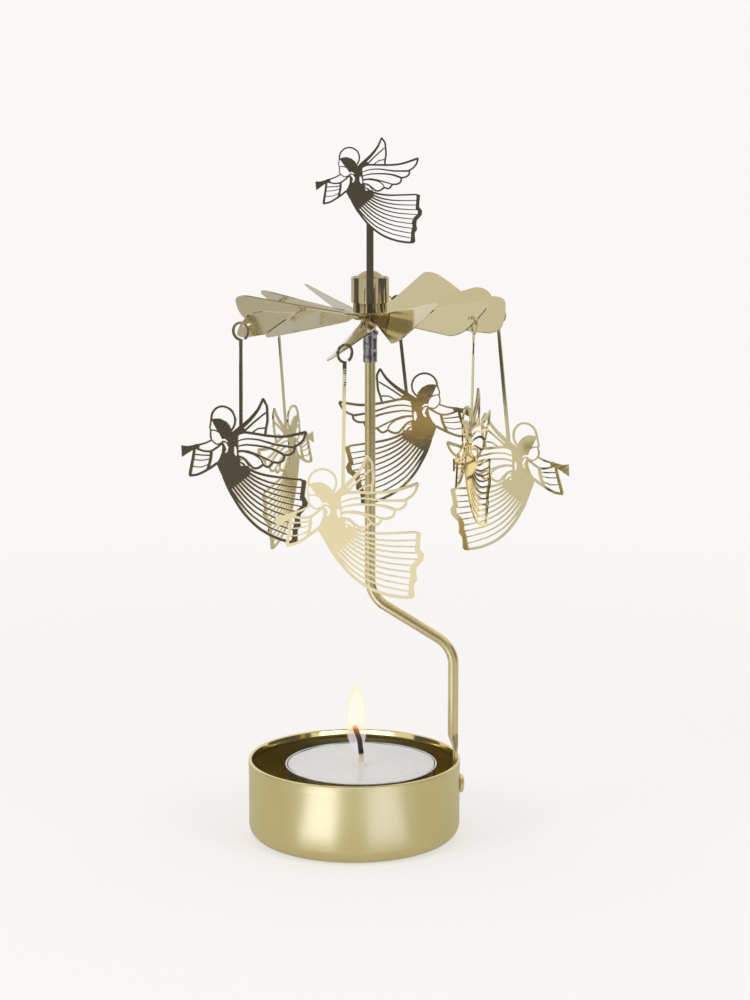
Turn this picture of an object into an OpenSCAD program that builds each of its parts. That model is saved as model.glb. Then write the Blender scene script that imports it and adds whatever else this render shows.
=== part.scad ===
/* [Candle cup] */
// Outside diameter of the candle cup
cup_d = 53; // [48:0.5:60]
// Height of the candle cup over its rolled rim
cup_h = 20; // [16:0.5:30]
// Sheet thickness of the candle cup
cup_wall = 0.5; // [0.3:0.05:0.8]
// Radius of the curve between the wall and the floor
cup_corner_r = 3.5; // [2:0.25:6]
// Thickness of the rim, which is rolled inwards
cup_bead_d = 1.1; // [0.9:0.05:1.6]
// Width of the notch in the rim where the post passes
cup_notch_w = 6.4; // [6:0.2:9]

/* [Tealight] */
// Outside diameter of the tealight tin
tin_d = 38; // [34:0.5:39]
// Height of the tealight tin
tin_h = 17.9; // [12:0.1:19]
// Sheet thickness of the tin
tin_wall = 0.3; // [0.2:0.05:0.5]
// How far the wax lies under the edge of the tin
wax_below_edge = 0.5; // [0.2:0.1:3]
// Distance of the tealight from the middle of the cup, towards the post
tealight_shift = 1.7; // [0:0.1:3]
// Diameter of the wick
wick_d = 1.4; // [1:0.1:2]
// Length of the wick that stands out of the wax
wick_out = 9.8; // [6:0.2:12]
// Diameter of the metal foot that holds the wick
tab_d = 12; // [8:0.5:16]
// Thickness of the metal foot
tab_h = 0.4; // [0.3:0.05:0.8]

/* [Post] */
// Diameter of the bent rod
rod_d = 2.6; // [2:0.1:3]
// Distance from the middle of the cup to the turning axis
axis_x = 4; // [0:0.5:8]
// Height of the lower bend's corner
low_corner_z = 48.2; // [44:0.2:56]
// Height of the upper bend's corner
high_corner_z = 61.2; // [58:0.2:68]
// Radius of both bends, at the middle of the rod
bend_r = 8; // [5:0.5:9]
// Height of the top end of the rod
rod_top_z = 126; // [122:0.5:130]
// Thickness of the flattened foot of the rod
foot_t = 1.2; // [0.8:0.1:1.5]
// Width of the flattened foot
foot_w = 4.8; // [4.2:0.1:5.4]
// Height of the lower end of the foot
foot_z = 8.6; // [6:0.2:10]
// Length of the flattened foot
foot_len = 14.4; // [12:0.2:16]
// Height of the rivet that holds the foot to the cup
rivet_z = 13.2; // [12:0.2:15]
// Diameter of the rivet's shank
rivet_d = 2.4; // [1.6:0.1:3]
// Diameter of the rivet's round head
rivet_head_d = 5; // [3.8:0.1:6]
// Height of the rivet's round head
rivet_head_h = 1.1; // [0.7:0.1:1.5]

/* [Pivot] */
// Outside diameter of the sleeve on the top of the rod
sleeve_d = 3.5; // [3.2:0.1:4.2]
// Length of the sleeve that covers the rod
sleeve_len = 6.4; // [4:0.2:9]
// Diameter of the collar at the top of the sleeve
collar_d = 4.1; // [3.8:0.1:5]
// Height of the collar
collar_h = 1.2; // [0.8:0.1:1.6]
// Diameter of the nose that carries the needle
nose_d = 2.9; // [2:0.1:3.2]
// Height of the nose over the collar
nose_h = 4.2; // [3:0.2:5]
// Diameter of the needle
needle_d = 1; // [0.8:0.05:1.3]
// Length of the needle's point
needle_point = 2.2; // [1.5:0.1:3]
// Play between a hole and the round piece in it
fit_play = 0.04; // [0.02:0.01:0.08]

/* [Hub] */
// Outside diameter of the round cap over the needle
cap_d = 8.3; // [8:0.1:10]
// Wall of the cap
cap_wall = 0.5; // [0.3:0.05:0.7]
// Height of the fan's middle plane
fan_z = 130.9; // [130:0.1:134]
// Height of the straight side of the cap over the fan
cap_side_h = 6.8; // [6.2:0.1:8]
// Diameter of the cap's brim
brim_d = 9.2; // [9:0.1:11]
// Thickness of the cap's brim
brim_h = 0.7; // [0.4:0.05:1]
// Diameter of the neck that holds the fan
neck_d = 7.4; // [7:0.1:7.8]
// Thickness of the edge rolled under the fan
roll_h = 0.5; // [0.3:0.05:0.8]

/* [Fan] */
// Outside diameter of the fan
fan_d = 66; // [60:1:72]
// Number of blades, of which every second one carries an angel
blade_count = 12; // [12:1:12]
// Sheet thickness of the fan
fan_t = 0.3; // [0.2:0.05:0.5]
// Angle that each blade is turned to catch the warm air
blade_pitch = 31; // [20:1:35]
// Angle between the two sides of a blade
blade_angle = 27.8; // [24:0.2:28.4]
// Radius of the blade's outer corners
blade_corner_r = 3.2; // [2:0.1:4.5]
// Radius of the flat middle disc
disc_r = 4.7; // [4.6:0.1:5.5]
// Radius where a blade's neck ends and its flat sheet starts
blade_start_r = 6.8; // [6.4:0.1:8]
// How far the blades rise outwards, as an angle
blade_rise = 2; // [0:0.5:4]
// Turning angle of the first blade
first_blade = -39.75; // [-45:0.25:-35]
// Diameter of the hole that an angel hangs in
hole_d = 1.9; // [1.8:0.05:2.1]
// Sheet between that hole and the blade's outer edge
hole_rim = 0.7; // [0.5:0.05:0.9]

/* [Angels] */
// Sheet thickness of the angels
sheet = 0.4; // [0.3:0.05:0.5]
// Inside diameter of an angel's hanging ring
ring_bore = 3.5; // [3.4:0.1:4.2]
// Width of the ring's strip
ring_strip = 0.6; // [0.4:0.05:0.8]
// Distance from the ring's middle up to the blade that it hangs on
ring_hang = 0.86; // [0.8:0.02:0.96]
// Width of a hanging angel's stem
stem_w = 0.85; // [0.6:0.05:1.2]
// Distance from ring middle to halo middle on a short stem
short_drop = 22; // [20:0.5:26]
// Distance from ring middle to halo middle on a long stem
long_drop = 30.4; // [28:0.5:34]
// Length of the twist under each ring
twist_len = 4; // [3:0.5:6]
// Size of the top angel compared with a hanging one
top_scale = 0.735; // [0.7:0.005:0.8]
// Height of the top angel's halo over the fan
top_halo_h = 38.4; // [34:0.2:44]
// Width of the top angel's stem
top_stem_w = 1.7; // [1.2:0.1:2.4]
// Height of the band that clips on to the cap
band_h = 6.1; // [4:0.1:6.4]
// Height of the band's lower edge over the fan
band_up = 3.4; // [2.4:0.1:4]
// Width of the band's opening at the back
band_gap = 2.4; // [1.5:0.1:4]

/* [Hidden] */
$fn = 96;

// Small overlap that makes two solids of one piece meet
bite = 0.2;
cup_in_r = cup_d / 2 - cup_wall;
// The rod stands against the inside of the cup's wall
rod_x = cup_in_r - rod_d / 2;
foot_x = cup_in_r - foot_w * foot_w / (8 * cup_in_r) - 0.02;
slant_run = rod_x - axis_x;
slant_drop = high_corner_z - low_corner_z;
slant_len = norm([slant_run, slant_drop]);
slant_down = atan2(slant_drop, slant_run);
// Angle that the rod turns through at each bend
bend_turn = 90 - slant_down;
bend_cut = bend_r * tan(bend_turn / 2);
sleeve_top = rod_top_z + 0.1;
collar_z = sleeve_top + 0.1;
brim_z = fan_z + fan_t / 2 + 0.02;
dome_z = brim_z + cap_side_h;
cap_r = cap_d / 2;
cap_in_r = cap_r - cap_wall;
needle_top = dome_z + cap_in_r - 0.08;
fan_r = fan_d / 2;
hole_r_pos = fan_r - hole_rim - hole_d / 2;
tealight_z = cup_wall + 0.1;
wax_h = tin_h - tin_wall - wax_below_edge;
wax_z = tealight_z + tin_wall + 0.02;

// Each row is one hanging angel: the blade it hangs from, the turn of its ring from the blade's
// own direction, the turn of the figure, whether its stem is the long one, how far it leans
// forwards and sideways, and how far the figure is turned on its stem with its hem down
hangers = [[0, -36, -67, false, 4, 0, -2],
           [2, -45, -81.8, true, 0.9, 0, -1.2],
           [4, -45, -44.5, false, 0.5, 0, 3],
           [6, -45, -70, true, 7, 1, 5],
           [8, -45, -80.3, false, 6.3, 0, 4],
           [10, -45, -49.3, true, 6.3, 0, 2]];
// How far each blade has been bent down, aside and about its own length by hand, as angles
blade_bend = [-1.5, -1.4, 9.1, 0, 4, -1, 0, 0, 0, -8, 0, 0];
blade_swing = [0, 0, 1.5, 0, 0, 0, -2, 1.5, 0, 0, -2, 0];
blade_twist = [-2, 7, 4, 0, 0, 0, 0, 6, 0, 0, 8, 0];
function pitch_of(k) = blade_pitch + blade_twist[k];
function blade_dir(k) = first_blade - k * 360 / blade_count + blade_swing[k];

// Point at the share t of the smooth curve that runs through b and c, between a and d
function span(a, b, c, d, t) =
    b + (c - a) * (t / 2)
    + (2 * a - 5 * b + 4 * c - d) * (t * t / 2)
    + (3 * b - a - 3 * c + d) * (t * t * t / 2);
function stop(p, i) = p[min(max(i, 0), len(p) - 1)];
// Smooth curve through the points p, with n steps from each point to the next
function smooth(p, n) =
    [for (i = [0:len(p) - 2], j = [0:n - 1])
        span(stop(p, i - 1), p[i], p[i + 1], stop(p, i + 2), j / n),
     p[len(p) - 1]];
function side_step(p, i) =
    let (d = stop(p, i + 1) - stop(p, i - 1))
    [-d.y, d.x] / norm(d);
// Outline of a strip along the curve p, from width w0 at its start to w1 at its end
function strip_outline(p, w0, w1) =
    let (m = len(p) - 1)
    concat([for (i = [0:m]) p[i] + side_step(p, i) * (w0 + (w1 - w0) * i / m) / 2],
           [for (i = [m:-1:0]) p[i] - side_step(p, i) * (w0 + (w1 - w0) * i / m) / 2]);
function mix(a, b, t) = a + (b - a) * t;

module strip(points, w0, w1, steps = 2) {
    polygon(strip_outline(smooth(points, steps), w0, w1));
}

// Figure of a trumpet angel, flying to the left. Its origin is level with the middle of the
// halo, on the line of the hanging stem, and its sizes are those of a hanging angel.
halo_c = [-4.8, 0];
halo_r = 3.25;

module halo() {
    arc = [for (a = [-45:12:195]) halo_c + halo_r * [cos(a), sin(a)]];
    polygon(strip_outline(arc, 0.5, 0.5));
}

module head_and_body() {
    difference() {
        polygon([[-7.9, -0.4], [-7.2, 0], [-5.7, 0.2], [-4.1, -0.3], [-2.9, -1.3], [-2.2, -2.6],
                 [-2.05, -3.2], [-1, -2.1], [0, -1.2], [0.9, -1.3], [1.9, -2.3], [0.3, -2.8],
                 [-0.5, -3.4], [-0.6, -4.6], [-0.4, -5.9], [-0.2, -8.2], [0.3, -9], [1.2, -9.1],
                 [2.5, -10.1], [3.1, -11.3], [3.2, -12.4], [-1.9, -16.9], [-3.7, -14.9],
                 [-5, -12.9], [-6.1, -10.9], [-5.3, -9.6], [-4.75, -8], [-4.7, -6.6],
                 [-5, -5.7], [-4.8, -4.9], [-5.6, -3.6], [-6.6, -2.4], [-7.3, -1.4]]);
        polygon([[-4.8, -5.4], [-3.7, -5.6], [-3, -6.5], [-3.2, -7.6], [-3.7, -8.1], [-3.9, -7.9],
                 [-3.6, -7], [-4.1, -6.1]]);
        polygon([[-4.9, -4.8], [-4, -4.6], [-3.2, -5.2], [-3.4, -5.4], [-4.1, -5.1],
                 [-4.9, -5.15]]);
        polygon([[-1.5, -6.2], [-1, -6.1], [-0.75, -6.9], [-0.65, -8.2], [-1, -8.5],
                 [-1.5, -7.6]]);
        polygon([[0.3, -9.3], [1.3, -9.15], [2.5, -10.3], [2, -10.5], [1.2, -9.8], [0.3, -9.6]]);
        polygon([[0.2, -9.9], [1.3, -10.5], [0.6, -10.7]]);
    }
}

module face_line() {
    strip([[-8.1, -0.6], [-8.3, -2.4], [-8, -3.1], [-8.1, -3.9], [-7.9, -5], [-7, -5.9],
           [-6, -6.2], [-5, -5.7]], 0.35, 0.35);
    strip([[-8, -2.9], [-6.6, -2.9], [-5.2, -3.4]], 0.25, 0.45);
}

module trumpet() {
    polygon([[-15.9, -7.7], [-14.3, -7.7], [-12.8, -7.3], [-11.7, -6.8], [-10.9, -7.3],
             [-11.1, -8], [-12.4, -8.3], [-14, -9.4], [-15.6, -10.6]]);
    strip([[-11.5, -7.1], [-9.5, -6.4], [-7.7, -5.4]], 0.5, 0.4);
}

module sleeve_of_robe() {
    strip([[-11.8, -7.9], [-10, -8.3], [-8, -8.2], [-6.5, -7.3], [-5.1, -6.1], [-4.4, -5.7]],
          0.5, 0.55);
    strip([[-12.3, -8.2], [-12.6, -10.8], [-13, -13.2], [-13.2, -14.8]], 0.7, 0.8);
    strip([[-13.4, -14.9], [-11.2, -14.4], [-8.9, -13.1], [-7.1, -11.8], [-5.9, -10.8]],
          0.6, 0.65);
    strip([[-7.7, -8.1], [-7.7, -9.7], [-8.1, -11.7], [-8.5, -12.8]], 0.75, 0.7);
    for (bar = [[-9.5, -9.2, 0.35], [-10.8, -10.1, 0.27], [-12.5, -11.3, 0.27]])
        strip([[-12.5, bar[0]], [-10.2, bar[0] + 0.1], [-8, bar[1]]], bar[2], bar[2]);
}

module near_wing() {
    strip([[-0.7, -3.1], [0.6, -2.5], [2.2, -2.3], [6.9, -2.4], [10.9, -2.2], [13.8, -1.5],
           [17.5, -0.2]], 0.6, 0.7);
    scallops = [[[17.5, -0.2], [16.9, -2.1], [15.7, -3.5], [14.5, -4.1]],
                [[14.7, -4.1], [14.6, -5.3], [13.6, -6.2], [12.2, -6.5]],
                [[12.1, -6.6], [11.8, -7.9], [10.5, -8.6], [9.1, -8.6]],
                [[9.1, -8.7], [8.3, -9.8], [7.6, -10], [6.5, -9.6]],
                [[6.5, -9.6], [5.2, -10.6], [3.8, -10.7], [2.4, -9.6], [1.2, -8.7], [-0.2, -8.4]]];
    for (s = scallops)
        strip(s, 0.6, 0.55);
    strip([[-0.6, -4.7], [1.6, -3.9], [5.1, -3.7], [9.5, -4.3], [14.6, -4.3]], 0.3, 0.6);
    strip([[-0.5, -6], [1.9, -5.3], [6.6, -5.2], [9.8, -5.7], [12.2, -6.6]], 0.35, 0.7);
    strip([[-0.4, -7.2], [2.2, -6.9], [5.7, -7.6], [9.1, -8.6]], 0.6, 0.4);
    strip([[1.5, -7.1], [3.9, -7.4], [5.8, -8.4], [6.6, -9.7]], 0.4, 0.4);
}

module far_wing() {
    strip([[-1.9, -3.3], [0, -1.4], [2.3, 0.8], [4.5, 3.7], [5.6, 6.4]], 1.3, 0.5);
    strip([[5.5, 6.4], [6.7, 4.9], [6.9, 3.2], [7.1, 1.1], [6.8, -0.6], [6.7, -2.3]], 0.6, 0.6);
    strip([[0.9, -2.2], [3.6, 0.5], [6.5, 3.1]], 0.5, 0.4);
    strip([[3.3, -2.1], [4.7, -1], [6.8, -0.6]], 0.35, 0.4);
}

module robe_edges() {
    strip([[-4, -14], [-2.3, -17], [-0.7, -19.1], [1, -21.2], [3.4, -23.4], [6.6, -25.5],
           [10.9, -27], [14.7, -27.5], [16.3, -27.3]], 0.7, 0.7);
    strip([[2.6, -11.1], [4.5, -11.7], [7.4, -12.1], [10.9, -12.1], [16.9, -11.9]], 0.7, 0.5);
    polygon([[16.5, -11.7], [17.9, -11.9], [18.2, -12.3], [18, -14.1], [17.9, -15.9],
             [18.9, -17.2], [18.7, -18.6], [17.1, -20.4], [17, -21.8], [17.3, -23.2],
             [16.5, -24.4], [16.5, -25.4], [16.7, -27.2], [16, -27.7], [14.9, -27.5],
             [15.2, -26.3], [15.3, -24], [15.7, -22.2], [15.5, -20.8], [16.1, -19.4],
             [17.4, -18.2], [17.4, -17.2], [16.7, -16.5], [16.9, -14.1], [17, -12.5]]);
}

pleat_count = 9;

// Each pleat runs from the body to the hem, between the guides of the first and the last one
module pleats() {
    for (k = [0:pleat_count - 1]) {
        t = k / (pleat_count - 1);
        strip([mix([2.9, -12.1], [-2.2, -16.4], t),
               mix([5.1, -13], [0.6, -19.5], t),
               mix([8.5, -13.7], [4.2, -22.5], t),
               mix([12.4, -13.9], [9.4, -24.8], t),
               mix([17.2, -13.8], [15.5, -26.1], t) + [0.75 * sin(180 * t), 0]], 0.6, 0.28);
    }
}

module figure() {
    halo();
    head_and_body();
    face_line();
    trumpet();
    sleeve_of_robe();
    near_wing();
    far_wing();
    robe_edges();
    pleats();
}

// Depth of a hanging angel's straight strip under its ring, above the twist
ring_stem = 1.2;
twist_top = -(ring_bore / 2 + ring_strip + ring_stem);

// Ring with a narrow opening beside the stem, on the hem's side
module ring_and_stem() {
    ring_r = ring_bore / 2 + ring_strip / 2;
    arc = [for (a = [-60:14:262]) ring_r * [cos(a), sin(a)]];
    polygon(strip_outline(arc, ring_strip, ring_strip));
    translate([-stem_w / 2, twist_top])
        square([stem_w, -twist_top - ring_bore / 2 - 0.1]);
}

// Middle of the piece of blade that a ring hangs on, seen from the blade's own frame
function hang_point(k, turn) =
    let (to_edge = (hole_rim + hole_d / 2) / cos(turn),
         reach = (hole_d / 2 + to_edge) / 2,
         along = reach * cos(turn),
         aside = reach * sin(turn))
    [hole_r_pos + along, aside, aside * tan(pitch_of(k))];

// Moves its children from a blade's own frame to the place of that blade
module at_blade(k) {
    translate([axis_x, 0, fan_z])
        rotate([0, 0, blade_dir(k)])
            translate([disc_r, 0, 0])
                rotate([0, blade_bend[k] - blade_rise, 0])
                    translate([-disc_r, 0, 0])
                        children();
}

// Same point in the frame of the whole object, so that the angel hangs upright from it
function rise_of(k) = blade_rise - blade_bend[k];
function hang_place(k, turn) =
    let (p = hang_point(k, turn),
         r = disc_r + (p.x - disc_r) * cos(rise_of(k)) - p.z * sin(rise_of(k)),
         z = (p.x - disc_r) * sin(rise_of(k)) + p.z * cos(rise_of(k)),
         a = blade_dir(k))
    [axis_x + r * cos(a) - p.y * sin(a), r * sin(a) + p.y * cos(a), fan_z + z];

module upright(turn) {
    rotate([0, 0, turn])
        rotate([90, 0, 0])
            linear_extrude(height = sheet, center = true)
                children();
}

// Every figure flies clockwise seen from above, so its hem points back from the way it flies
module hanging_angel(i) {
    h = hangers[i];
    drop = h[3] ? long_drop : short_drop;
    twist = h[2] - h[1];
    stem_root = -1.6;
    color("darkgoldenrod")
        translate(hang_place(h[0], h[1]))
            rotate([h[5], h[4], blade_dir(h[0]) + 180 + h[2]])
                translate([0, 0, -ring_hang])
                    union() {
                        upright(-twist)
                            ring_and_stem();
                        translate([0, 0, twist_top + bite])
                            rotate([180, 0, -twist])
                                linear_extrude(height = twist_len + 2 * bite,
                                               twist = twist, slices = 8, segments = 4)
                                    square([stem_w - 0.06, sheet - 0.04], center = true);
                        translate([0, 0, -drop])
                            upright(0) {
                                rotate(-h[6])
                                    figure();
                                translate([-stem_w / 2, stem_root])
                                    square([stem_w, drop + twist_top - twist_len - stem_root]);
                            }
                    }
}

module top_angel() {
    band_in_r = cap_r + 0.05;
    band_r = band_in_r + sheet;
    band_z = fan_z + band_up;
    halo_z = fan_z + top_halo_h;
    // Where the stem meets the robe's front edge, in the sizes of a hanging angel
    meet = [1.87, -22];
    slope = 0.92 * top_stem_w / 2;
    meet_z = halo_z + meet.y * top_scale;
    color("darkgoldenrod")
        translate([axis_x, 0, 0])
            union() {
                difference() {
                    translate([0, 0, band_z])
                        cylinder(r = band_r, h = band_h);
                    translate([0, 0, band_z - 1])
                        cylinder(r = band_in_r, h = band_h + 2);
                    translate([-band_gap / 2, 0, band_z - 1])
                        cube([band_gap, band_r + 1, band_h + 2]);
                }
                translate([0, -band_r + sheet / 2, 0])
                    upright(0) {
                        translate([-meet.x * top_scale, halo_z])
                            scale(top_scale)
                                figure();
                        polygon([[-top_stem_w / 2, band_z], [top_stem_w / 2, band_z],
                                 [top_stem_w / 2, meet_z - slope],
                                 [-top_stem_w / 2, meet_z + slope]]);
                    }
            }
}

// Outline of one flat blade along +X, with rounded outer corners
function blade_outline() =
    let (half = blade_angle / 2,
         c = fan_r - blade_corner_r,
         b = half - asin(blade_corner_r / c),
         upper = [for (s = [0:6])
                     let (a = b + (half + 90 - b) * s / 6)
                     c * [cos(b), sin(b)] + blade_corner_r * [cos(a), sin(a)]],
         edge = [for (s = [-3:3]) fan_r * [cos(b * s / 4), sin(b * s / 4)]],
         root = blade_start_r * [cos(half), sin(half)])
    concat(edge, upper, [root, [root.x, -root.y]],
           [for (s = [6:-1:0]) [upper[s].x, -upper[s].y]]);

module blade(k) {
    neck_w = 2 * disc_r * sin(blade_angle / 2) - 0.1;
    neck_len = blade_start_r - disc_r + 2 * bite;
    at_blade(k) {
        difference() {
            rotate([pitch_of(k), 0, 0])
                linear_extrude(height = fan_t, center = true)
                    polygon(blade_outline());
            if (k % 2 == 0)
                rotate([pitch_of(k), 0, 0])
                    translate([hole_r_pos, 0, -1])
                        cylinder(d = hole_d, h = 2);
        }
        translate([disc_r - bite, 0, 0])
            rotate([0, 90, 0])
                linear_extrude(height = neck_len, twist = -pitch_of(k), slices = 6, segments = 4,
                               scale = [1, (blade_start_r - 0.3) / disc_r])
                    square([fan_t - 0.04, neck_w], center = true);
    }
}

module fan() {
    color("khaki")
        union() {
            translate([axis_x, 0, fan_z - fan_t / 2])
                difference() {
                    cylinder(r = disc_r, h = fan_t);
                    translate([0, 0, -1])
                        cylinder(d = neck_d + 2 * fit_play, h = fan_t + 2);
                }
            for (k = [0:blade_count - 1])
                blade(k);
        }
}

module hub_cap() {
    lip_top = fan_z - fan_t / 2 - 0.02;
    neck_in_r = neck_d / 2 - 0.4;
    color("gold")
        translate([axis_x, 0, 0])
            difference() {
                union() {
                    translate([0, 0, dome_z])
                        sphere(r = cap_r);
                    translate([0, 0, brim_z])
                        cylinder(r = cap_r, h = cap_side_h);
                    translate([0, 0, brim_z])
                        cylinder(d = brim_d, h = brim_h);
                    translate([0, 0, lip_top - roll_h / 2])
                        cylinder(d = neck_d, h = brim_z - lip_top + roll_h);
                    translate([0, 0, lip_top - roll_h])
                        cylinder(d = brim_d - 0.4, h = roll_h);
                }
                translate([0, 0, dome_z])
                    sphere(r = cap_in_r);
                translate([0, 0, brim_z + brim_h])
                    cylinder(r = cap_in_r, h = cap_side_h - brim_h);
                translate([0, 0, lip_top - roll_h - 1])
                    cylinder(r = neck_in_r, h = brim_z + brim_h - lip_top + roll_h + 1.1);
            }
}

module pivot_sleeve() {
    color("dimgray")
        translate([axis_x, 0, 0])
            difference() {
                union() {
                    translate([0, 0, rod_top_z - sleeve_len])
                        cylinder(d = sleeve_d, h = collar_z + 0.1 - rod_top_z + sleeve_len);
                    translate([0, 0, collar_z])
                        cylinder(d = collar_d, h = collar_h);
                    translate([0, 0, collar_z + collar_h / 2])
                        cylinder(d = nose_d, h = nose_h + collar_h / 2);
                }
                translate([0, 0, rod_top_z - sleeve_len - 1])
                    cylinder(d = rod_d + 2 * fit_play, h = sleeve_len + 1.1);
                translate([0, 0, collar_z + collar_h])
                    cylinder(d = needle_d + 2 * fit_play, h = nose_h + 1);
            }
}

module pivot_needle() {
    base_z = collar_z + collar_h + 0.05;
    color("silver")
        translate([axis_x, 0, base_z])
            union() {
                cylinder(d = needle_d, h = needle_top - needle_point - base_z);
                translate([0, 0, needle_top - needle_point - base_z])
                    cylinder(d1 = needle_d, d2 = 0.16, h = needle_point);
            }
}

// The straight stretches run a little way into each bend, which is a hair thinner
module bend(turn) {
    rotate([90, 0, 0])
        rotate_extrude(angle = turn)
            translate([bend_r, 0])
                circle(d = rod_d - 0.02);
}

module post() {
    foot_top = foot_z + foot_len;
    rod_low = foot_top + 3;
    color("goldenrod")
        difference() {
            union() {
                translate([foot_x - foot_t, -foot_w / 2, foot_z + foot_w / 2])
                    cube([foot_t, foot_w, foot_len - foot_w / 2]);
                translate([foot_x - foot_t, 0, foot_z + foot_w / 2])
                    rotate([0, 90, 0])
                        cylinder(d = foot_w, h = foot_t);
                hull() {
                    translate([foot_x - foot_t, -foot_w / 2, foot_top - 0.5])
                        cube([foot_t, foot_w, 0.5]);
                    translate([rod_x, 0, rod_low])
                        cylinder(d = rod_d, h = 0.5, $fn = 32);
                }
                translate([rod_x, 0, rod_low])
                    cylinder(d = rod_d, h = low_corner_z - bend_cut - rod_low + bite);
                translate([rod_x - bend_r, 0, low_corner_z - bend_cut])
                    bend(bend_turn);
                translate([rod_x, 0, low_corner_z])
                    rotate([0, slant_down - 90, 0])
                        translate([0, 0, bend_cut - bite])
                            cylinder(d = rod_d, h = slant_len - 2 * bend_cut + 2 * bite);
                translate([axis_x + bend_r, 0, high_corner_z + bend_cut])
                    rotate([0, 180, 0])
                        bend(bend_turn);
                translate([axis_x, 0, high_corner_z + bend_cut - bite])
                    cylinder(d = rod_d, h = rod_top_z - high_corner_z - bend_cut + bite);
            }
            translate([foot_x - foot_t - 1, 0, rivet_z])
                rotate([0, 90, 0])
                    cylinder(d = rivet_d + 2 * fit_play, h = foot_t + 2);
        }
}

module post_rivet() {
    head_r = (rivet_head_d * rivet_head_d / 4 + rivet_head_h * rivet_head_h) / (2 * rivet_head_h);
    wall_x = cup_d / 2 + 0.02;
    tail_x = foot_x - foot_t - 0.02;
    tail_d = rivet_d + 1.4;
    color("goldenrod")
        translate([0, 0, rivet_z])
            rotate([0, 90, 0])
                union() {
                    translate([0, 0, tail_x])
                        cylinder(d = rivet_d, h = wall_x - tail_x + rivet_head_h / 3);
                    intersection() {
                        translate([0, 0, wall_x + rivet_head_h - head_r])
                            sphere(r = head_r);
                        translate([0, 0, wall_x])
                            cylinder(d = rivet_head_d + 1, h = rivet_head_h + 1);
                    }
                    translate([0, 0, tail_x - 0.7])
                        cylinder(d = tail_d, h = 0.7);
                }
}

module cup_shape(r, h, corner) {
    union() {
        translate([0, 0, corner])
            cylinder(r = r, h = h - corner);
        cylinder(r = r - corner, h = h - 0.1);
        translate([0, 0, corner])
            rotate_extrude()
                translate([r - corner, 0])
                    intersection() {
                        circle(r = corner);
                        translate([0, -corner - 1])
                            square([corner + 1, corner + 1]);
                    }
    }
}

module candle_cup() {
    bead_r = cup_bead_d / 2;
    color("tan")
        difference() {
            union() {
                difference() {
                    cup_shape(cup_d / 2, cup_h - bead_r, cup_corner_r);
                    translate([0, 0, cup_wall])
                        cup_shape(cup_in_r, cup_h, cup_corner_r - cup_wall);
                }
                translate([0, 0, cup_h - bead_r])
                    difference() {
                        rotate_extrude()
                            translate([cup_d / 2 - bead_r, 0])
                                circle(r = bead_r);
                        translate([0, -cup_notch_w / 2, -bead_r - 1])
                            cube([cup_in_r, cup_notch_w, cup_bead_d + 2]);
                    }
            }
            translate([cup_in_r - 2, 0, rivet_z])
                rotate([0, 90, 0])
                    cylinder(d = rivet_d + 2 * fit_play, h = 4);
        }
}

module in_cup() {
    translate([tealight_shift, 0, 0])
        children();
}

module tealight_tin() {
    color("lightgray")
        in_cup()
            translate([0, 0, tealight_z])
                difference() {
                    cylinder(d = tin_d, h = tin_h);
                    translate([0, 0, tin_wall])
                        cylinder(d = tin_d - 2 * tin_wall, h = tin_h);
                }
}

module tealight_wax() {
    color("white")
        in_cup()
            translate([0, 0, wax_z])
                difference() {
                    cylinder(d = tin_d - 2 * tin_wall - 2 * fit_play, h = wax_h);
                    translate([0, 0, -1])
                        cylinder(d = tab_d + 2 * fit_play, h = tab_h + 1.06);
                    translate([0, 0, -1])
                        cylinder(d = wick_d + 2 * fit_play, h = wax_h + 2);
                }
}

module wick_tab() {
    color("gray")
        in_cup()
            translate([0, 0, wax_z])
                cylinder(d = tab_d, h = tab_h);
}

module wick() {
    curl_r = 14;
    curl_turn = 24;
    foot = wax_z + tab_h + 0.02;
    straight = wax_z + wax_h + wick_out - foot - curl_r * sin(curl_turn);
    color("black")
        in_cup()
            translate([0, 0, foot])
                union() {
                    cylinder(d = wick_d, h = straight + bite);
                    translate([-curl_r, 0, straight])
                        rotate([90, 0, 0])
                            rotate_extrude(angle = curl_turn)
                                translate([curl_r, 0])
                                    circle(d = wick_d - 0.02);
                }
}

candle_cup();
post();
post_rivet();
pivot_sleeve();
pivot_needle();
hub_cap();
fan();
top_angel();
hanging_angel(0);  // hanging_angel_1
hanging_angel(1);  // hanging_angel_2
hanging_angel(2);  // hanging_angel_3
hanging_angel(3);  // hanging_angel_4
hanging_angel(4);  // hanging_angel_5
hanging_angel(5);  // hanging_angel_6
tealight_tin();
tealight_wax();
wick_tab();
wick();
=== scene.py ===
# %% [markdown]
# # Angel chime carousel
# A tealight warms the air, the warm air turns a fan of twelve bent blades, and six angels that
# hang from the blades fly round with it. This notebook dresses the solid model of it: each cell
# makes one piece or one finish, in metres, at real size, in the same place as the solid.

import bmesh
import bpy
import numpy as np
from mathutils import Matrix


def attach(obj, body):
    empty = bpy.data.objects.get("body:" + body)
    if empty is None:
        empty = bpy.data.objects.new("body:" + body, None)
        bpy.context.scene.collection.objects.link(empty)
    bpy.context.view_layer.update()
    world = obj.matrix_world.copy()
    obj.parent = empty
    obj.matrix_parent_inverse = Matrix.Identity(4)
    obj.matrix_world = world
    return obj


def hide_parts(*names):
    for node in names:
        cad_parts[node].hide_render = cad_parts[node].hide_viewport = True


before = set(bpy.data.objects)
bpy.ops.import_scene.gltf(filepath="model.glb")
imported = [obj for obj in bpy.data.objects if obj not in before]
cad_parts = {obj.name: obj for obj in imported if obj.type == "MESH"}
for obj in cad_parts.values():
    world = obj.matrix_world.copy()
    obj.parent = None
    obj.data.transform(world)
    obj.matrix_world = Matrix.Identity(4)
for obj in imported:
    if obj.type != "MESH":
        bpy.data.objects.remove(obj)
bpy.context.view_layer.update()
scene = bpy.context.scene
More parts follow.
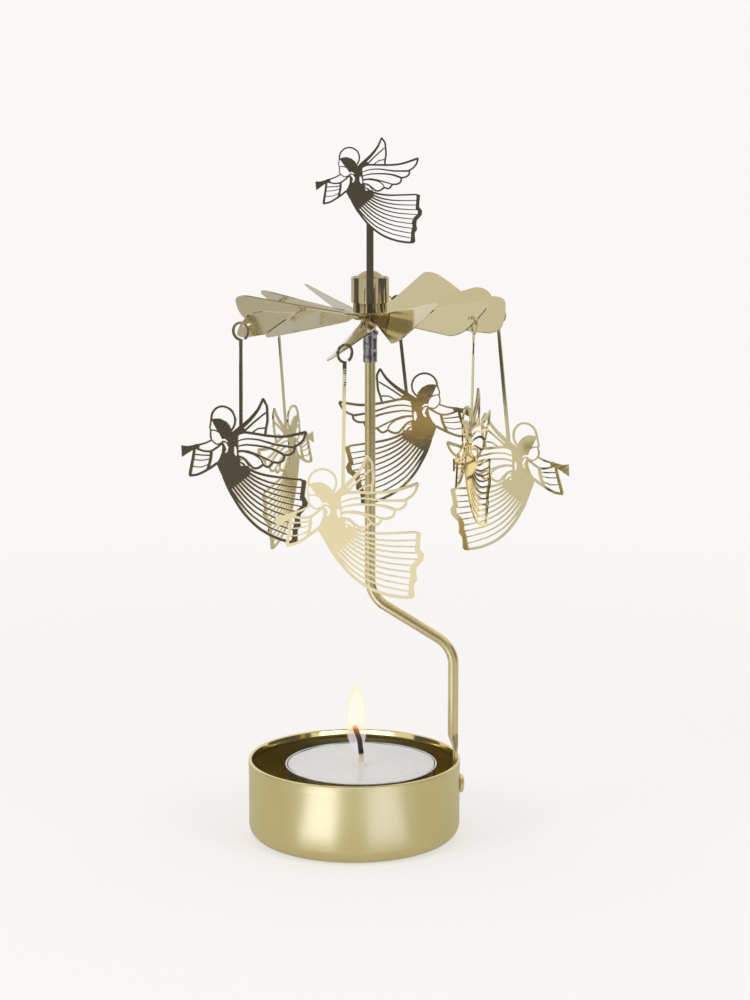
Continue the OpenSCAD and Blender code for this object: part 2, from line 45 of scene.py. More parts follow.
scene.view_settings.view_transform = "Standard"
MM = 0.001
print("nodes in the solid model:", len(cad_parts))

# %% [markdown]
# ## Camera
# The camera comes first, because everything is compared with the photograph through it. A long
# lens from a little over half a metre looks down at ten and a half degrees, which gives the
# rim of the cup the same flat ellipse as in the photograph.

# %% Camera at the photograph's angle
camera_data = bpy.data.cameras.new("photo_camera")
camera_data.lens = 93.6
camera_data.sensor_width = 36.0
camera_data.clip_start = 0.01
camera = bpy.data.objects.new("photo_camera", camera_data)
scene.collection.objects.link(camera)
camera.location = np.array([5.2, -629.0, 202.0]) * MM
camera.rotation_euler = (np.radians(90 - 10.5), 0.0, 0.0)
scene.camera = camera
print("camera lens:", camera_data.lens, "mm")

# %% [markdown]
# ## Shader sums
# A finish is a sum of patterns, so one small class wraps a socket of the node tree. Adding or
# multiplying two of them makes the Math node, and `node` makes any other kind of node.


# %% A socket that can be added and multiplied
class Wire:
    """One output socket of a material's node tree."""

    def __init__(self, tree, socket=None):
        self.tree, self.socket = tree, socket

    def node(self, kind, settings=None, sockets=None, out=0):
        """New node of this kind: its settings first, then values or links of its sockets."""
        made = self.tree.nodes.new(kind)
        for key, value in (settings or {}).items():
            if key == "stops":
                for index, (place, colour) in enumerate(value):
                    stops = made.color_ramp.elements
                    stop = stops[index] if index < 2 else stops.new(place)
                    stop.position, stop.color = place, (*colour, 1.0)
            else:
                setattr(made, key, value)
        for key, value in (sockets or {}).items():
            if isinstance(value, Wire):
                self.tree.links.new(value.socket, made.inputs[key])
            else:
                made.inputs[key].default_value = value
        return Wire(self.tree, made.outputs[out])

    def maths(self, operation, first, second=0.0, third=0.0):
        return self.node("ShaderNodeMath", {"operation": operation},
                         {0: first, 1: second, 2: third})

    def __add__(self, other):
        return self.maths("ADD", self, other)

    def __sub__(self, other):
        return self.maths("SUBTRACT", self, other)

    def __rsub__(self, other):
        return self.maths("SUBTRACT", other, self)

    def __mul__(self, other):
        return self.maths("MULTIPLY", self, other)

    def __truediv__(self, other):
        return self.maths("DIVIDE", self, other)

    def __pow__(self, other):
        return self.maths("POWER", self, other)

    __radd__, __rmul__ = __add__, __mul__

    def between(self, low, high):
        """Smooth step: 0 where the value is at low, 1 where it is at high."""
        return self.node("ShaderNodeMapRange", {"interpolation_type": "SMOOTHSTEP"},
                         {"Value": self, "From Min": low, "From Max": high})

    def blend(self, colour_0, colour_1):
        """Colour that goes from colour_0 to colour_1 as this value goes from 0 to 1."""
        sockets = {0: self}
        for index, colour in ((6, colour_0), (7, colour_1)):
            sockets[index] = colour if isinstance(colour, Wire) else (*colour, 1.0)
        return self.node("ShaderNodeMix", {"data_type": "RGBA"}, sockets, out=2)

    def stretched(self, x, y, z):
        """This place times a scale of its own along each axis."""
        return self.node("ShaderNodeMapping", {}, {"Vector": self, "Scale": (x, y, z)})

    def noise(self, scale, detail=2.0, roughness=0.5):
        """Cloudy pattern round 0.5, with scale spots to a metre."""
        return self.node("ShaderNodeTexNoise", {},
                         {"Vector": self, "Scale": scale, "Detail": detail,
                          "Roughness": roughness})

    def axes(self):
        """The x, y and z of this place, in metres."""
        parts = self.node("ShaderNodeSeparateXYZ", {}, {"Vector": self})
        return [Wire(self.tree, socket) for socket in parts.socket.node.outputs]

    def bump(self, depth, strength=1.0):
        """Normal that this height gives, with its full depth in metres."""
        return self.node("ShaderNodeBump", {},
                         {"Height": self, "Distance": depth, "Strength": strength})


def new_finish(name):
    """Empty material and the Object coordinates that its patterns read."""
    material = bpy.data.materials.new(name)
    material.use_nodes = True
    tree = material.node_tree
    place = Wire(tree).node("ShaderNodeTexCoord", out="Object")
    return material, tree.nodes["Principled BSDF"], place


def set_finish(material, shader, **values):
    """Sets or links the shader's sockets, each named in words with _ for a space."""
    for key, value in values.items():
        socket = shader.inputs[key.replace("_", " ")]
        if isinstance(value, Wire):
            material.node_tree.links.new(value.socket, socket)
        else:
            socket.default_value = (*value, 1.0) if isinstance(value, tuple) else value
    return material


# %% [markdown]
# ## Finishes of the brass
# Lacquered brass is pale and yellow-green. Five finishes come from one function, because they
# are the same metal with more or less polish: the cup is satin with a smooth inner rim, the
# fan and the cap are almost mirrors, the angels are etched from bright sheet, and the post is
# drawn rod.


# %% Brass
def brass(name, colour, tarnish, polish, grain, wave, rubbed=None):
    """Brass whose colour drifts to tarnish in clouds, whose roughness is polish plus a cloudy
    part, and whose height is fine grain along the given stretch plus long waves. Above 18 mm
    and closer to the middle than rubbed, its roughness falls to about a third."""
    material, shader, place = new_finish(name)
    clouds = place.noise(48.0, 3.0)
    freckles = place.noise(700.0, 2.0, 0.6).between(0.55, 0.85)
    age = clouds.between(0.40, 0.80) * 0.30 + freckles * 0.10
    lines = place.stretched(*grain).noise(1.0, 3.0, 0.6)
    waves = place.noise(32.0, 1.0)
    rough = polish * (0.85 + clouds * 0.35 + lines * 0.15)
    if rubbed:
        x, y, z = place.axes()
        outside = (x * x + y * y).between(rubbed ** 2, (rubbed + 0.2 * MM) ** 2)
        rough = rough * (1 - z.between(17.6 * MM, 18.1 * MM) * (1 - outside) * 0.65)
    normal = (lines * 0.3 + waves * wave).bump(0.00005, 0.5)
    return set_finish(material, shader, Base_Color=age.blend(colour, tarnish),
                      Roughness=rough, Metallic=1.0, Normal=normal)


cup_satin = brass("satin_brass", (0.75, 0.65, 0.30), (0.69, 0.585, 0.25), 0.31,
                  (60, 60, 900), 1.5, 26.1 * MM)
fan_mirror = brass("mirror_brass", (0.58, 0.515, 0.305), (0.53, 0.455, 0.24), 0.07,
                   (160, 160, 160), 2.0)
cap_mirror = brass("cap_brass", (0.42, 0.335, 0.18), (0.36, 0.28, 0.14), 0.06,
                   (90, 90, 500), 3.0)
angel_sheet = brass("etched_sheet_brass", (0.69, 0.61, 0.345), (0.60, 0.51, 0.27), 0.07,
                    (240, 240, 240), 2.0)
rod_drawn = brass("drawn_rod_brass", (0.84, 0.72, 0.37), (0.72, 0.60, 0.28), 0.30,
                  (900, 900, 30), 1.0)
print("brass finishes:", len([m for m in bpy.data.materials if "brass" in m.name]))


# %% [markdown]
# ## Steel, tin, wax and wick
# The sleeve on the post is dark steel, pinched on with pliers, so it is covered in small dents.
# The tealight's tin is thin rolled aluminium. Wax lets a little light in, so it needs
# subsurface light, and its pool round the wick is glossier than its edge.


# %% Steel sleeve and needle
def pinched_steel():
    """Dark steel: fine lines that run up it, and shallow marks of the pliers."""
    material, shader, place = new_finish("pinched_steel")
    marks = place.stretched(1, 1, 0.6).noise(900.0, 2.0, 0.5)
    lines = place.stretched(3000, 3000, 120).noise(1.0, 2.0)
    colour = marks.between(0.35, 0.75).blend((0.40, 0.375, 0.365), (0.66, 0.625, 0.61))
    rough = 0.16 + lines * 0.10
    return set_finish(material, shader, Base_Color=colour, Roughness=rough, Metallic=1.0,
                      Normal=(marks + lines * 0.15).bump(0.00012, 0.5))


def needle_steel():
    """Bright ground steel with fine rings round the needle."""
    material, shader, place = new_finish("ground_steel")
    rings = place.stretched(1, 1, 9000).noise(1.0, 1.0)
    return set_finish(material, shader, Base_Color=rings.blend((0.42, 0.42, 0.43),
                                                              (0.60, 0.60, 0.62)),
                      Roughness=0.16 + rings * 0.12, Metallic=1.0)


sleeve_steel, point_steel = pinched_steel(), needle_steel()


# %% Rolled aluminium, wax and charred wick
def rolled_aluminium():
    """Thin aluminium with rolling lines that run round it and small creases."""
    material, shader, place = new_finish("rolled_aluminium")
    lines = place.stretched(30, 30, 2500).noise(1.0, 2.0)
    creases = place.noise(260.0, 3.0, 0.6)
    return set_finish(material, shader, Metallic=1.0,
                      Base_Color=creases.between(0.3, 0.7).blend((0.50, 0.50, 0.50),
                                                                 (0.72, 0.72, 0.73)),
                      Roughness=0.22 + lines * 0.16,
                      Normal=(creases + lines * 0.3).bump(0.00012, 0.6))


def paraffin(centre):
    """Wax: the distance from the wick makes its pool smooth and its edge dull and crumbly, and
    near the wick it turns the wax orange, a painted glow of the flame.
    """
    material, shader, place = new_finish("paraffin_wax")
    x, y, z = place.axes()
    away = ((x - centre) ** 2.0 + y ** 2.0) ** 0.5
    edge = away.between(0.011, 0.0175)
    crumbs = place.noise(900.0, 3.0, 0.6)
    clouds = place.noise(120.0, 2.0)
    plain = (clouds * 0.6 + edge * 0.4).blend((0.70, 0.685, 0.675), (0.76, 0.745, 0.735))
    # Painted glow of the flame: within about 2.6 mm of the wick the wax colour goes up to half
    # way to orange.
    painted_flame_glow = (1 - away.between(0.0006, 0.0026)) * 0.5
    colour = painted_flame_glow.blend(plain, (0.86, 0.62, 0.46))
    return set_finish(material, shader, Base_Color=colour, Roughness=0.24 + edge * 0.3,
                      Subsurface_Weight=0.3, Subsurface_Scale=0.003, IOR=1.44,
                      Normal=(crumbs * edge + clouds * 0.3).bump(0.00025, 0.5))


def charred_cotton(low, high):
    """Wick: waxed and pale up to low, black above it, and glowing at its tip, at high."""
    material, shader, place = new_finish("charred_cotton")
    x, y, z = place.axes()
    height = (z - low) / (high - low)
    fibres = place.stretched(1, 1, 0.3).noise(2500.0, 3.0)
    char = height.between(-0.05, 0.10)
    colour = char.blend((0.86, 0.64, 0.48), (0.012, 0.009, 0.008))
    glow = height.node("ShaderNodeValToRGB", {"stops": [
        (0.0, (0, 0, 0)), (1.0, (0.80, 0.26, 0.05)), (0.50, (0.004, 0.0, 0.0)),
        (0.74, (0.08, 0.012, 0.0)), (0.9, (0.42, 0.09, 0.008))]}, {"Fac": height})
    return set_finish(material, shader, Base_Color=colour, Roughness=0.85,
                      Emission_Color=glow, Emission_Strength=1.0,
                      Normal=fibres.bump(0.0002, 0.8))


tealight_x = 1.7
wax_top, wick_low, wick_high = 18.02, 20.6, 27.8
tin_foil = rolled_aluminium()
wax_finish = paraffin(tealight_x * MM)
wick_finish = charred_cotton(wick_low * MM, wick_high * MM)


# %% [markdown]
# ## Surfaces from numbers
# Every new piece is a grid of points, worked out as one array. Turned pieces are a profile
# carried round an axis, and bent ones are an outline carried along a path.


# %% From a grid of points to a piece
def grid_faces(rows, columns, around_rows=False, around_columns=False):
    """Four-cornered faces between neighbours of a grid whose points are counted row by row."""
    a = np.arange(rows if around_rows else rows - 1)[:, None]
    b = np.arange(columns if around_columns else columns - 1)[None, :]
    a2, b2 = (a + 1) % rows, (b + 1) % columns
    corners = [a * columns + b, a2 * columns + b, a2 * columns + b2, a * columns + b2]
    return np.stack([c + 0 * a + 0 * b for c in corners], axis=-1).reshape(-1, 4)


def make_piece(name, points, faces, finish, body, node=None, slot=None, sharp=38.0):
    """Mesh in millimetres to an object in metres: doubles merged, faces turned outwards, and
    every edge that bends more than sharp degrees kept crisp."""
    mesh = bpy.data.meshes.new(name)
    mesh.from_pydata((np.asarray(points).reshape(-1, 3) * MM).tolist(), [], faces.tolist())
    work = bmesh.new()
    work.from_mesh(mesh)
    bmesh.ops.remove_doubles(work, verts=work.verts, dist=2e-7)
    bmesh.ops.recalc_face_normals(work, faces=work.faces)
    limit = np.radians(sharp)
    for edge in work.edges:
        edge.smooth = len(edge.link_faces) == 2 and edge.calc_face_angle(4.0) < limit
    work.to_mesh(mesh)
    work.free()
    mesh.polygons.foreach_set("use_smooth", np.ones(len(mesh.polygons), bool))
    piece = bpy.data.objects.new(name, mesh)
    scene.collection.objects.link(piece)
    mesh.materials.append(finish)
    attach(piece, body)
    if node:
        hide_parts(node)
    size = np.ptp(np.asarray(points).reshape(-1, 3), axis=0)
    print(name, "is", np.round(size, 1), "mm, faces:", len(mesh.polygons))
    return piece


def rounded(corners, steps=6):
    """Outline through the corners (x, y, radius), where each radius gives an arc that touches
    both straight sides: its ends lie radius / tan(half the corner's angle) from the corner."""
    out = []
    for i, (x, y, radius) in enumerate(corners):
        p = np.array([x, y], float)
        if radius == 0 or i in (0, len(corners) - 1):
            out.append(p[None])
            continue
        u = np.array(corners[i - 1][:2]) - p
        v = np.array(corners[i + 1][:2]) - p
        u, v = u / np.linalg.norm(u), v / np.linalg.norm(v)
        half = np.arccos(np.clip(u @ v, -1, 1)) / 2
        centre = p + (u + v) / np.linalg.norm(u + v) * radius / np.sin(half)
        touch = radius / np.tan(half)
        start, end = p + u * touch - centre, p + v * touch - centre
        t = np.linspace(0, 1, steps + 1)[:, None]
        arc = start * (1 - t) + end * t
        out.append(centre + arc / np.linalg.norm(arc, axis=1, keepdims=True) * radius)
    return np.concatenate(out)


def turned(profile, turns, x=0.0, y=0.0):
    """Surface of revolution: radius(i) * (cos t, sin t) at height(i), for turns values of t."""
    t = np.arange(turns) / turns * 2 * np.pi
    r, z = profile[:, 0], profile[:, 1]
    points = np.stack([x + np.cos(t)[:, None] * r, y + np.sin(t)[:, None] * r,
                       np.ones_like(t)[:, None] * z], axis=-1)
    return points, grid_faces(turns, len(r), around_rows=True)


# %% [markdown]
# ## The candle cup
# The cup is pressed from thin sheet: a flat floor, a round corner, a wall that steps out a
# hair under the rim, and an inner lip that leans down to the wall and mirrors what is bright.
# The lip is flattened where the post stands.

# %% Candle cup
cup_r, cup_h, cup_wall = 26.5, 20.0, 0.5
wall_out, wall_in, lip_foot = 26.44, 25.98, 18.0
cup_profile = rounded([(0, 0, 0), (wall_out, 0, 3.6), (wall_out, 17.9, 1.5),
                       (cup_r, 18.5, 1.5), (cup_r, cup_h, 0.4), (25.75, cup_h, 0.35),
                       (25.36, 18.5, 0.3), (wall_in, lip_foot + 0.1, 0.2),
                       (wall_in, cup_wall, 3.1), (0, cup_wall, 0)], 8)
cup_points, cup_faces = turned(cup_profile, 256)


def notch_and_dents(points, notch_half=3.3, depth=0.028):
    """Near the post the lip is pushed out to the wall: radius + (wall - radius) * w,
    w falling from 1 to 0 over a millimetre. Everywhere the wall waves by a few hundredths."""
    t = np.arctan2(points[..., 1], points[..., 0])
    r = np.hypot(points[..., 0], points[..., 1])
    z = points[..., 2]
    w = 1 / (1 + np.exp((np.abs(t) * 26 - notch_half) / 0.18))
    inside = (z > lip_foot) & (r < wall_in)
    r2 = np.where(inside, r + (wall_in - r) * w, r)
    lift = np.clip(z / cup_h, 0, 1) * (r > 20)
    r2 = r2 + depth * lift * (np.sin(2 * t + 0.6) + 0.6 * np.sin(5 * t + 2) - 1.2)
    return np.stack([r2 * np.cos(t), r2 * np.sin(t), z], axis=-1)


make_piece("pressed_cup", notch_and_dents(cup_points), cup_faces, cup_satin, "stand",
           "candle_cup", "cup_brass")

# %% [markdown]
# ## The post
# One rod, bent twice so that its top stands over the middle of the cup. Its foot is hammered
# flat and riveted inside the wall. It is one outline carried along the bent path, and the
# outline goes from a flat oblong to a circle on the way.

# %% Path of the bent rod
rod_r, axis_x = 1.3, 4.0
rod_x, foot_x = 24.7, 25.27
low_z, high_z, bend_r, rod_top = 48.2, 61.2, 8.0, 126.0
path = rounded([(foot_x, 8.6, 0), (foot_x, 23.2, 3), (rod_x, 26.0, 3), (rod_x, low_z, bend_r),
                (axis_x, high_z, bend_r), (axis_x, rod_top, 0)], 16)


def resampled(path, step):
    """Points at equal distances along the path, by its running length."""
    run = np.concatenate([[0], np.cumsum(np.linalg.norm(np.diff(path, axis=0), axis=1))])
    at = np.linspace(0, run[-1], int(run[-1] / step) + 1)
    return np.stack([np.interp(at, run, path[:, i]) for i in range(2)], axis=1)


def flat_to_round(path, sides=40):
    """Oblong carried along the path: half thickness a and half width b go from the flat foot
    to the rod's radius, and the power n of |cos|^(2/n) goes from a box's to a circle's."""
    tangent = np.gradient(path, axis=0)
    tangent /= np.linalg.norm(tangent, axis=1, keepdims=True)
    z = path[:, 1]
    w = np.clip((z - 21.8) / 4.6, 0, 1)
    w = (w * w * (3 - 2 * w))[:, None]
    b_foot = np.sqrt(np.clip(2.4 ** 2 - np.clip(11.0 - z, 0, 2.39) ** 2, 0.02, None))[:, None]
    a, b = 0.6 + (rod_r - 0.6) * w, b_foot + (rod_r - b_foot) * w
    n = 5.0 - 3.0 * w
    t = np.arange(sides) / sides * 2 * np.pi
    c, s = np.cos(t)[None], np.sin(t)[None]
    along = a * np.sign(c) * np.abs(c) ** (2 / n)
    across = b * np.sign(s) * np.abs(s) ** (2 / n)
    x = path[:, :1] + tangent[:, 1:] * along
    z = path[:, 1:] - tangent[:, :1] * along
    return np.stack([x, across, z], axis=-1)


def with_ends(points):
    """Same grid with each open end drawn together to the middle of its last row."""
    first = points[:1].mean(axis=1, keepdims=True)
    last = points[-1:].mean(axis=1, keepdims=True)
    spread = np.ones((1, points.shape[1], 1))
    return np.concatenate([first * spread, points, last * spread])


post_points = with_ends(flat_to_round(resampled(path, 0.5)))
make_piece("bent_post", post_points, grid_faces(*post_points.shape[:2], around_columns=True),
           rod_drawn, "stand", "post", "rod_brass")

# %% [markdown]
# ## The rivet
# A low round head outside the cup, a shank through wall and foot, and a small tail inside.

# %% Rivet
rivet_z, head_in, foot_in = 13.2, 26.52, 24.65
rivet_profile = rounded([(0, foot_in - 0.7, 0), (1.9, foot_in - 0.7, 0.3), (1.9, foot_in, 0.1),
                         (1.2, foot_in, 0), (1.2, head_in, 0), (2.45, head_in, 0.15),
                         (2.3, head_in + 0.75, 0.5), (1.2, head_in + 1.08, 1.5),
                         (0, head_in + 1.1, 0)], 5)
rivet_points, rivet_faces = turned(rivet_profile, 64)
rivet_points = rivet_points[..., [2, 1, 0]] + np.array([0, 0, rivet_z])
make_piece("round_rivet", rivet_points, rivet_faces, rod_drawn, "stand", "post_rivet",
           "rod_brass")

# %% [markdown]
# ## Sleeve and needle
# The sleeve is pinched on the rod's end. Its collar and nose carry the needle, and the needle
# carries the whole rotor on its point.


# %% Sleeve and needle
def pinch(points, depth=0.05):
    """Dents of the pliers: radius * (1 - depth * a bump that repeats round and up)."""
    x, y, z = points[..., 0] - axis_x, points[..., 1], points[..., 2]
    t, r = np.arctan2(y, x), np.hypot(x, y)
    low = (z < rod_top) & (r > 1.5)
    dent = np.clip(np.sin(3 * t + 0.8) * np.sin((z - 119.6) * 1.9) - 0.15, 0, 1) * low
    r = r * (1 - depth * dent)
    return np.stack([axis_x + r * np.cos(t), r * np.sin(t), z], axis=-1)


sleeve_profile = rounded([(1.36, 119.6, 0), (1.75, 119.6, 0.18), (1.75, 122.4, 0),
                          (1.75, 123.6, 0), (1.75, 125.0, 0), (1.75, 126.25, 0.1),
                          (2.05, 126.25, 0.3), (2.05, 127.4, 0.3), (1.45, 127.4, 0.1),
                          (1.45, 131.6, 0.35), (0.54, 131.6, 0), (0.54, 127.6, 0),
                          (0, 127.6, 0)], 5)
fine = np.concatenate([np.linspace(a, b, 7, endpoint=False)
                       for a, b in zip(sleeve_profile[:-1], sleeve_profile[1:])])
fine = np.concatenate([fine, sleeve_profile[-1:]])
sleeve_points, sleeve_faces = turned(fine, 72, axis_x)
make_piece("pinched_sleeve", pinch(sleeve_points), sleeve_faces, sleeve_steel, "stand",
           "pivot_sleeve", "steel")
needle_top = 141.44
needle_profile = rounded([(0, 127.65, 0), (0.5, 127.65, 0.1), (0.5, needle_top - 2.2, 0.4),
                          (0.09, needle_top - 0.05, 0.05), (0, needle_top, 0)], 5)
needle_points, needle_faces = turned(needle_profile, 40, axis_x)
make_piece("ground_needle", needle_points, needle_faces, point_steel, "stand", "pivot_needle",
           "steel")

# %% [markdown]
# ## The cap
# A small deep-drawn cap sits over the needle. Its brim lies on the fan, and its lower edge is
# rolled out under the fan and holds it.

# %% Cap over the needle
cap_r, cap_in, brim_z, dome_z = 4.15, 3.65, 131.07, 137.87
arc = np.linspace(0, np.pi / 2, 24)
dome = np.stack([cap_r * np.sin(arc), dome_z + cap_r * np.cos(arc)], axis=1)
side = rounded([(cap_r, dome_z, 0), (cap_r, brim_z + 0.7, 0.25), (4.6, brim_z + 0.7, 0.25),
                (4.6, brim_z, 0.2), (3.7, brim_z, 0.05), (3.7, 130.73, 0.05),
                (4.4, 130.73, 0.2), (4.4, 130.23, 0.2), (3.3, 130.23, 0.2),
                (3.3, 131.75, 0.2), (cap_in, 131.9, 0.2), (cap_in, dome_z, 0)], 5)
lining = np.stack([cap_in * np.cos(arc), dome_z + cap_in * np.sin(arc)], axis=1)
cap_points, cap_faces = turned(np.concatenate([dome, side, lining]), 144, axis_x)
make_piece("domed_cap", cap_points, cap_faces, cap_mirror, "rotor", "hub_cap",
           "polished_brass")

# %% [markdown]
# ## The fan
# The fan is one sheet: a flat ring with twelve blades, each turned at its neck. A blade is a
# ruled surface between its neck and its round outer edge. It could be cut with a boolean, but
# a grid with the faces of the hole left out keeps the reflections clean. The holes' radius is
# 0.13 mm larger than in the solid, so that the rings of swinging angels stay clear of them.

# %% Sizes of the fan
fan_z, fan_r, disc_r, disc_in = 130.9, 33.0, 4.7, 3.78
blade_count, first_blade, blade_rise, blade_pitch = 12, -39.75, 2.0, 31.0
half_angle, corner_r, neck_end = 13.9, 3.2, 6.8
hole_r, hole_at = 1.08, 31.35
bent_down = [-1.5, -1.4, 9.1, 0, 4, -1, 0, 0, 0, -8, 0, 0]
bent_aside = [0, 0, 1.5, 0, 0, 0, -2, 1.5, 0, 0, -2, 0]
twisted = [-2, 7, 4, 0, 0, 0, 0, 6, 0, 0, 8, 0]


def spin(points, axis, degrees):
    """Points turned by the right-hand rule about axis 0, 1 or 2, for x, y or z."""
    a = np.radians(degrees)
    i, j = [(1, 2), (2, 0), (0, 1)][axis]
    out = points.copy()
    out[..., i] = points[..., i] * np.cos(a) - points[..., j] * np.sin(a)
    out[..., j] = points[..., i] * np.sin(a) + points[..., j] * np.cos(a)
    return out


# %% One blade
def outer_edge(v):
    """Outer edge of a blade for v from -1 to 1: corner arc, round edge, corner arc."""
    h = np.radians(half_angle)
    c = fan_r - corner_r
    b = h - np.arcsin(corner_r / c)
    turn = h + np.pi / 2 - b
    lengths = np.array([corner_r * turn, 2 * fan_r * b, corner_r * turn])
    s = (v + 1) / 2 * lengths.sum()
    middle = (s - lengths[0]) / lengths[1] * 2 * b - b
    x, y = fan_r * np.cos(middle), fan_r * np.sin(middle)
    up = np.clip(s - lengths[0] - lengths[1], 0, None) / corner_r + b
    down = b + np.clip(lengths[0] - s, 0, None) / corner_r
    upper, lower = middle > b, middle < -b
    x = np.where(upper, c * np.cos(b) + corner_r * np.cos(up), x)
    y = np.where(upper, c * np.sin(b) + corner_r * np.sin(up), y)
    x = np.where(lower, c * np.cos(b) + corner_r * np.cos(down), x)
    y = np.where(lower, -c * np.sin(b) - corner_r * np.sin(down), y)
    return x, y


def blade(k, rows=64, columns=37):
    """Blade k: straight lines from the neck's root to the outer edge, turned about its own
    length by the pitch times a smooth step over the neck, and cambered by a few tenths."""
    v = np.linspace(-1, 1, columns)
    v = v * (0.55 + 0.45 * v * v)
    u = (1 - (1 - np.linspace(0, 1, rows)) ** 1.25)[:, None]
    edge_x, edge_y = outer_edge(v)
    root = disc_r - 0.35
    slope = np.tan(np.radians(half_angle))
    x = root + (edge_x - root) * u
    y = root * slope * 0.93 * v + (edge_y - root * slope * 0.93 * v) * u
    pitch = blade_pitch + twisted[k]
    w = np.clip((x - disc_r - 0.1) / (neck_end - disc_r), 0, 1)
    turn = np.radians(pitch) * w * w * (3 - 2 * w)
    camber = -0.12 * (v ** 2) * np.sin(np.pi * np.clip(u, 0, 1)) + 0 * x
    hole = np.hypot(x - hole_at, y)
    faces = grid_faces(rows, columns)
    if k % 2 == 0:
        cut = (hole.ravel()[faces] < hole_r).any(axis=1)
        ring = np.zeros(x.size, bool)
        ring[faces[cut].ravel()] = True
        ring = ring.reshape(x.shape) & (hole >= hole_r)
        x = np.where(ring, hole_at + (x - hole_at) * hole_r / hole, x)
        y = np.where(ring, y * hole_r / np.maximum(hole, 1e-6), y)
        faces = faces[~cut]
    points = np.stack([x, y * np.cos(turn) - camber * np.sin(turn),
                       y * np.sin(turn) + camber * np.cos(turn)], axis=-1)
    points[..., 0] -= disc_r
    points = spin(points, 1, bent_down[k] - blade_rise)
    points[..., 0] += disc_r
    points = spin(points, 2, first_blade - k * 360 / blade_count + bent_aside[k])
    return points.reshape(-1, 3) + np.array([axis_x, 0, fan_z]), faces


# %% All blades and the ring in one sheet
def whole_fan():
    """The twelve blades and a flat ring, with the faces counted on from piece to piece."""
    ring_points, ring_faces = turned(np.array([[disc_in, fan_z], [4.2, fan_z],
                                               [disc_r, fan_z]]), 144, axis_x)
    points, faces = [ring_points.reshape(-1, 3)], [ring_faces]
    for k in range(blade_count):
        p, f = blade(k)
        faces.append(f + sum(map(len, points)))
        points.append(p)
    return np.concatenate(points), np.concatenate(faces)


fan_points, fan_faces = whole_fan()
fan_sheet = make_piece("bladed_fan", fan_points, fan_faces, fan_mirror, "rotor", "fan",
                       "polished_brass", sharp=181.0)
thick = fan_sheet.modifiers.new("sheet_thickness", "SOLIDIFY")
thick.thickness, thick.offset, thick.use_even_offset = 0.3 * MM, 0.0, True
soft = fan_sheet.modifiers.new("cut_edges", "BEVEL")
soft.width, soft.segments, soft.limit_method = 0.05 * MM, 1, "ANGLE"
soft.angle_limit, soft.harden_normals = np.radians(50), True

# %% [markdown]
# ## The angels
# The seven angels are etched from flat sheet, so their solids already have the right shape
# and only need the finish of bright sheet.

# %% Finish of the angels
for name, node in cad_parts.items():
    if "angel" in name:
        node.data.materials.clear()
        node.data.materials.append(angel_sheet)
print("angels:", sum("angel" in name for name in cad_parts))

# %% [markdown]
# ## The tealight
# A pressed tin with small crimps round its foot, a disc of wax that has melted to a shallow
# pool, the metal foot that holds the wick, and the wick, which is burnt black and curls over.

# %% Tin
tin_r, tin_z, tin_h = 19.0, 0.6, 17.9
tin_profile = rounded([(0, tin_z, 0), (18.2, tin_z, 1.2), (18.75, 9.0, 8), (18.7, 17.6, 0.5),
                       (tin_r, 17.9, 0.2), (tin_r, tin_z + tin_h, 0.2),
                       (18.62, tin_z + tin_h, 0.15), (18.4, 17.6, 0.3), (18.4, 9.0, 8),
                       (17.9, tin_z + 0.3, 1.0), (0, tin_z + 0.3, 0)], 8)
tin_points, tin_faces = turned(tin_profile, 240, tealight_x)


def crimped(points, crimps=48, depth=0.14):
    """Crimps: the radius waves round the foot, and the waves fade out by 5 mm of height."""
    x, y, z = points[..., 0] - tealight_x, points[..., 1], points[..., 2]
    t, r = np.arctan2(y, x), np.hypot(x, y)
    fade = np.clip(1 - (z - 1.2) / 4.0, 0, 1) * (r > 17)
    r = r - depth * fade * (0.5 + 0.5 * np.cos(crimps * t))
    return np.stack([tealight_x + r * np.cos(t), r * np.sin(t), z], axis=-1)


make_piece("crimped_tin", crimped(tin_points), tin_faces, tin_foil, "tealight",
           "tealight_tin", "tin")


# %% Wax with its pool
wax_r = 18.3


def wax_top_height(r, t):
    """Height of the wax: a shallow pool, an edge that creeps up the tin, and a cone of wax
    that climbs the wick, as 1.5 mm * exp(-(r / 1.15 mm)^2)."""
    pool = -0.28 * (1 - (r / wax_r) ** 4)
    creep = 0.32 * np.exp((r - wax_r) / 0.4) * (1 + 0.5 * np.sin(7 * t) * np.sin(3 * t + 1))
    return wax_top + pool + creep + 1.5 * np.exp(-(r / 1.15) ** 2)


def wax_surface(rings=70, turns=200):
    """Top of the wax on polar rings, then its side and its flat underside."""
    t = np.arange(turns)[:, None] / turns * 2 * np.pi
    top = wax_r * np.linspace(0, 1, rings) ** 0.8
    r = np.concatenate([top, [wax_r, 18.1, 17.6, 0.0]])[None]
    z = wax_top_height(r, t)
    z[:, rings:] = np.array([8.0, 2.2, 1.0, 1.0])
    return np.stack([tealight_x + r * np.cos(t), r * np.sin(t), z], axis=-1)


wax_points = wax_surface()
make_piece("melted_wax", wax_points, grid_faces(*wax_points.shape[:2], around_rows=True),
           wax_finish, "tealight", "tealight_wax", "wax")
print("wax stands", round(float(wax_points[..., 2].max()), 2), "mm over the table")

# %% [markdown]
# ## The wick
# The wick is a braid: three strands give its outline three soft lobes that wind round it as
# it climbs. It curls to one side where it is burnt.


